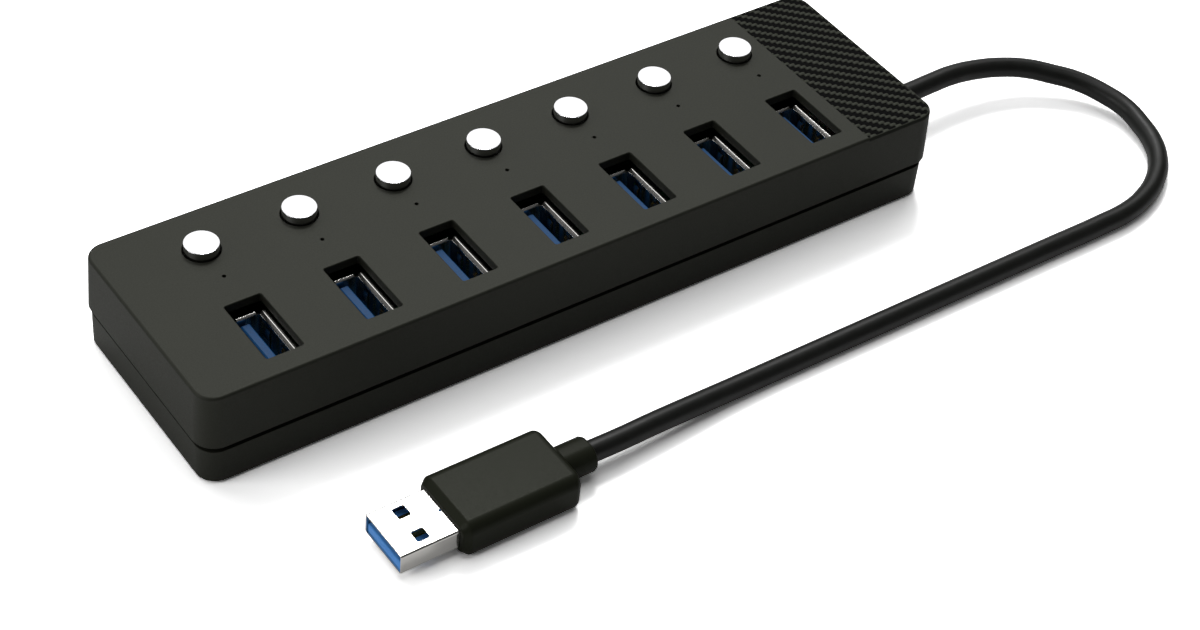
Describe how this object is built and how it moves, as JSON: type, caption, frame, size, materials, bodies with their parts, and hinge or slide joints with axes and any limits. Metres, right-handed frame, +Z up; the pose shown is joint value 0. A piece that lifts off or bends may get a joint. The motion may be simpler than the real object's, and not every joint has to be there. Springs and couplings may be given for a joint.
{
  "type": "usb hub",
  "caption": "Flat bar-shaped USB hub with a row of upright USB-A ports, a push switch for each port, and a short lead ending in a USB-A plug.",
  "frame": {"origin": "under the centre of the case, on the surface the feet stand on", "axes": "+X along the case towards the end where the lead leaves, +Y towards the row of buttons, +Z up"},
  "size_m": [0.2265, 0.0858, 0.0231],
  "materials": {
    "shell_plastic": "fine spark texture, satin",
    "trim_plastic": "moulded weave relief, satin",
    "grip_plastic": "smooth satin",
    "cord_jacket": "soft vinyl, satin",
    "foot_rubber": "matt",
    "chrome_plate": "polished",
    "steel_plated": "nickel plated",
    "screw_steel": "zinc plated",
    "gilt_contact": "gold flash",
    "blue_insulator": "moulded, semi-gloss",
    "board": "solder mask",
    "chip_resin": "moulded resin",
    "capacitor_sleeve": "shrink sleeve",
    "lamp": "clear resin",
    "clear_plastic": "clear acrylic",
    "cream_nylon": "moulded",
    "wire_jacket": "satin"
  },
  "bodies": {
    "hub": {"top_shell": "shell_plastic", "bottom_shell": "shell_plastic", "textured_end_plate": "trim_plastic", "circuit_board": "board", "receptacle_contacts": "gilt_contact", "hub_chips": "chip_resin", "crystal": "steel_plated", "capacitors": "capacitor_sleeve", "leds": "lamp", "light_pipes": "clear_plastic", "lead_header": "cream_nylon", "lead_wires": "wire_jacket", "case_screws": "screw_steel", "rubber_feet": "foot_rubber", "lead_grommet": "cord_jacket", "cord": "cord_jacket", "plug_grip": "grip_plastic", "plug_shell": "steel_plated", "plug_insert": "blue_insulator", "plug_contacts": "gilt_contact", "receptacle_shell_1": "steel_plated", "receptacle_insert_1": "blue_insulator", "switch_body_1": "chip_resin", "receptacle_shell_2": "steel_plated", "receptacle_insert_2": "blue_insulator", "switch_body_2": "chip_resin", "receptacle_shell_3": "steel_plated", "receptacle_insert_3": "blue_insulator", "switch_body_3": "chip_resin", "receptacle_shell_4": "steel_plated", "receptacle_insert_4": "blue_insulator", "switch_body_4": "chip_resin", "receptacle_shell_5": "steel_plated", "receptacle_insert_5": "blue_insulator", "switch_body_5": "chip_resin", "receptacle_shell_6": "steel_plated", "receptacle_insert_6": "blue_insulator", "switch_body_6": "chip_resin", "receptacle_shell_7": "steel_plated", "receptacle_insert_7": "blue_insulator", "switch_body_7": "chip_resin"},
    "button_1": {"button_cap_1": "chrome_plate", "switch_plunger_1": "cream_nylon"},
    "button_2": {"button_cap_2": "chrome_plate", "switch_plunger_2": "cream_nylon"},
    "button_3": {"button_cap_3": "chrome_plate", "switch_plunger_3": "cream_nylon"},
    "button_4": {"button_cap_4": "chrome_plate", "switch_plunger_4": "cream_nylon"},
    "button_5": {"button_cap_5": "chrome_plate", "switch_plunger_5": "cream_nylon"},
    "button_6": {"button_cap_6": "chrome_plate", "switch_plunger_6": "cream_nylon"},
    "button_7": {"button_cap_7": "chrome_plate", "switch_plunger_7": "cream_nylon"}
  },
  "joints": [
    {"name": "button_1_press", "type": "slide", "parent": "hub", "child": "button_1", "axis": [0, 0, -1], "range_m": [0, 0.0015], "stiffness_N_per_m": 300, "springref_m": -0.0015},
    {"name": "button_2_press", "type": "slide", "parent": "hub", "child": "button_2", "axis": [0, 0, -1], "range_m": [0, 0.0015], "stiffness_N_per_m": 300, "springref_m": -0.0015},
    {"name": "button_3_press", "type": "slide", "parent": "hub", "child": "button_3", "axis": [0, 0, -1], "range_m": [0, 0.0015], "stiffness_N_per_m": 300, "springref_m": -0.0015},
    {"name": "button_4_press", "type": "slide", "parent": "hub", "child": "button_4", "axis": [0, 0, -1], "range_m": [0, 0.0015], "stiffness_N_per_m": 300, "springref_m": -0.0015},
    {"name": "button_5_press", "type": "slide", "parent": "hub", "child": "button_5", "axis": [0, 0, -1], "range_m": [0, 0.0015], "stiffness_N_per_m": 300, "springref_m": -0.0015},
    {"name": "button_6_press", "type": "slide", "parent": "hub", "child": "button_6", "axis": [0, 0, -1], "range_m": [0, 0.0015], "stiffness_N_per_m": 300, "springref_m": -0.0015},
    {"name": "button_7_press", "type": "slide", "parent": "hub", "child": "button_7", "axis": [0, 0, -1], "range_m": [0, 0.0015], "stiffness_N_per_m": 300, "springref_m": -0.0015}
  ]
}
